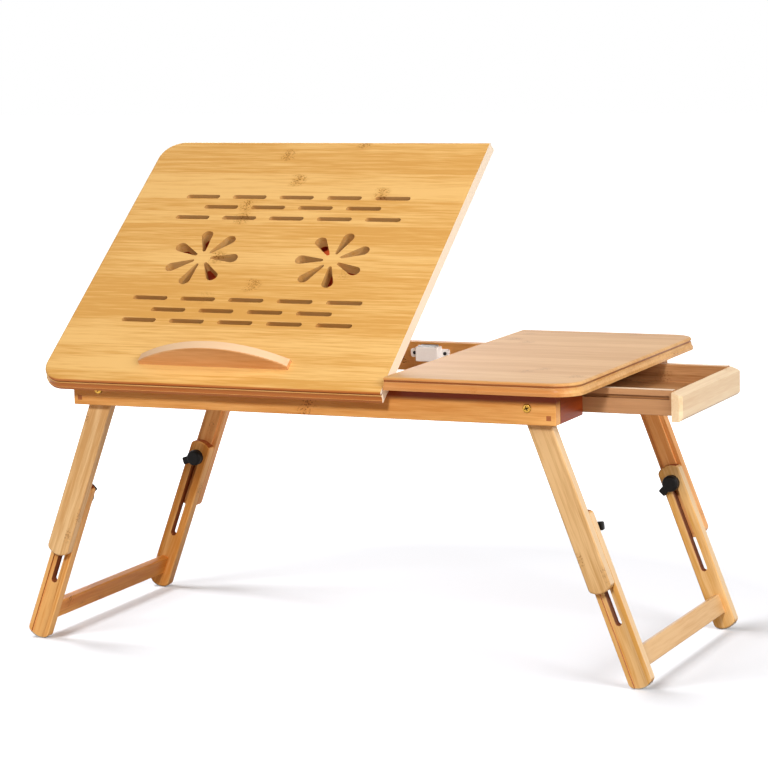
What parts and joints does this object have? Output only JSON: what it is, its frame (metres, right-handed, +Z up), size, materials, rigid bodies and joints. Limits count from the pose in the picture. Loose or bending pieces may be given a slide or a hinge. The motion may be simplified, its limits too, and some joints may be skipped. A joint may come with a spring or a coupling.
{
  "type": "laptop stand with drawer",
  "caption": "Folding wooden lap desk for a laptop: tilting vented top with a ledge, fixed side top over a slide-out drawer, and folding legs of adjustable length.",
  "frame": {"origin": "middle of the stand's bounding box, on the surface that the feet stand on, drawer open and top raised", "axes": "+X along the desk towards the drawer, +Y to the back edge that rises, +Z up"},
  "size_m": [0.6796, 0.3532, 0.4829],
  "materials": {
    "tilt_bamboo": "satin lacquered bamboo strips",
    "side_bamboo": "gloss lacquered bamboo strips",
    "frame_bamboo": "satin lacquered bamboo",
    "leg_bamboo": "satin lacquered bamboo strips",
    "drawer_wood": "satin pale bamboo",
    "drawer_ply": "thin pale board",
    "dowel_wood": "end grain",
    "brass": "brassed steel",
    "steel": "zinc plated",
    "black_plastic": "moulded satin",
    "white_plastic": "moulded gloss",
    "rubber": "thin anti-slip pad"
  },
  "bodies": {
    "desk_frame": {"front_rail": "frame_bamboo", "back_rail": "frame_bamboo", "left_end_rail": "frame_bamboo", "right_end_front_block": "frame_bamboo", "right_end_back_block": "frame_bamboo", "divider": "frame_bamboo", "drawer_guide_front": "frame_bamboo", "drawer_guide_back": "frame_bamboo", "drawer_runner_front": "drawer_wood", "drawer_runner_back": "drawer_wood", "fixed_top": "side_bamboo", "prop_rail": "frame_bamboo", "prop_hinge_rail_leaves": "steel", "prop_hinge_pins": "steel", "catch_body": "white_plastic", "catch_poles": "steel", "catch_screws": "steel", "corner_dowels": "dowel_wood", "hinge_frame_leaves": "brass", "hinge_frame_screws": "brass", "hinge_pins": "brass", "leg_pivot_screws": "brass"},
    "tilting_top": {"tilt_top": "tilt_bamboo", "laptop_ledge": "tilt_bamboo", "hinge_top_leaves": "brass", "hinge_top_screws": "brass", "strike_plate": "steel", "prop_guide_left": "frame_bamboo", "prop_guide_right": "frame_bamboo"},
    "prop": {"prop_board": "frame_bamboo", "prop_rod": "steel", "prop_rod_clips": "steel", "prop_hinge_board_leaves": "steel"},
    "drawer": {"drawer_front": "drawer_wood", "drawer_side_front": "drawer_wood", "drawer_side_back": "drawer_wood", "drawer_back": "drawer_wood", "drawer_bottom": "drawer_ply"},
    "left_upper_legs": {"left_front_upper_leg": "leg_bamboo", "left_back_upper_leg": "leg_bamboo", "left_clamp_bolts": "steel", "left_clamp_washers": "steel"},
    "left_lower_legs": {"left_front_lower_leg": "leg_bamboo", "left_back_lower_leg": "leg_bamboo", "left_crossbar": "leg_bamboo", "left_foot_pads": "rubber"},
    "left_front_clamp": {"left_front_knob": "black_plastic"},
    "left_back_clamp": {"left_back_knob": "black_plastic"},
    "right_upper_legs": {"right_front_upper_leg": "leg_bamboo", "right_back_upper_leg": "leg_bamboo", "right_clamp_bolts": "steel", "right_clamp_washers": "steel"},
    "right_lower_legs": {"right_front_lower_leg": "leg_bamboo", "right_back_lower_leg": "leg_bamboo", "right_crossbar": "leg_bamboo", "right_foot_pads": "rubber"},
    "right_front_clamp": {"right_front_knob": "black_plastic"},
    "right_back_clamp": {"right_back_knob": "black_plastic"}
  },
  "joints": [
    {"name": "top_tilt", "type": "hinge", "parent": "desk_frame", "child": "tilting_top", "pos_m": [-0.10315, -0.15438, 0.27105], "axis": [1, 0, 0], "range_deg": [-37.5, 0]},
    {"name": "prop_swing", "type": "hinge", "parent": "desk_frame", "child": "prop", "pos_m": [-0.10315, -0.07838, 0.26955], "axis": [1, 0, 0], "range_deg": [-52.81, 0]},
    {"name": "drawer_slide", "type": "slide", "parent": "desk_frame", "child": "drawer", "axis": [1, 0, 0], "range_m": [-0.087, 0.033]},
    {"name": "left_leg_fold", "type": "hinge", "parent": "desk_frame", "child": "left_upper_legs", "pos_m": [-0.23315, 0.00162, 0.26005], "axis": [0, -1, 0], "range_deg": [0, 110.8]},
    {"name": "left_leg_extend", "type": "slide", "parent": "left_upper_legs", "child": "left_lower_legs", "axis": [0.3551, 0, 0.9348], "range_m": [0, 0.09]},
    {"name": "left_front_knob_turn", "type": "hinge", "parent": "left_upper_legs", "child": "left_front_clamp", "pos_m": [-0.27665, -0.10838, 0.14553], "axis": [0, 1, 0], "range_deg": [0, 360]},
    {"name": "left_back_knob_turn", "type": "hinge", "parent": "left_upper_legs", "child": "left_back_clamp", "pos_m": [-0.27665, 0.11162, 0.14553], "axis": [0, -1, 0], "range_deg": [0, 360]},
    {"name": "right_leg_fold", "type": "hinge", "parent": "desk_frame", "child": "right_upper_legs", "pos_m": [0.21485, 0.00162, 0.26005], "axis": [0, 1, 0], "range_deg": [0, 110.8]},
    {"name": "right_leg_extend", "type": "slide", "parent": "right_upper_legs", "child": "right_lower_legs", "axis": [-0.3551, 0, 0.9348], "range_m": [0, 0.09]},
    {"name": "right_front_knob_turn", "type": "hinge", "parent": "right_upper_legs", "child": "right_front_clamp", "pos_m": [0.25835, -0.10838, 0.14553], "axis": [0, 1, 0], "range_deg": [0, 360]},
    {"name": "right_back_knob_turn", "type": "hinge", "parent": "right_upper_legs", "child": "right_back_clamp", "pos_m": [0.25835, 0.11162, 0.14553], "axis": [0, -1, 0], "range_deg": [0, 360]}
  ],
  "couplings": [
    {"joint": "prop_swing", "follows": "top_tilt", "ratio": 1.4084}
  ]
}
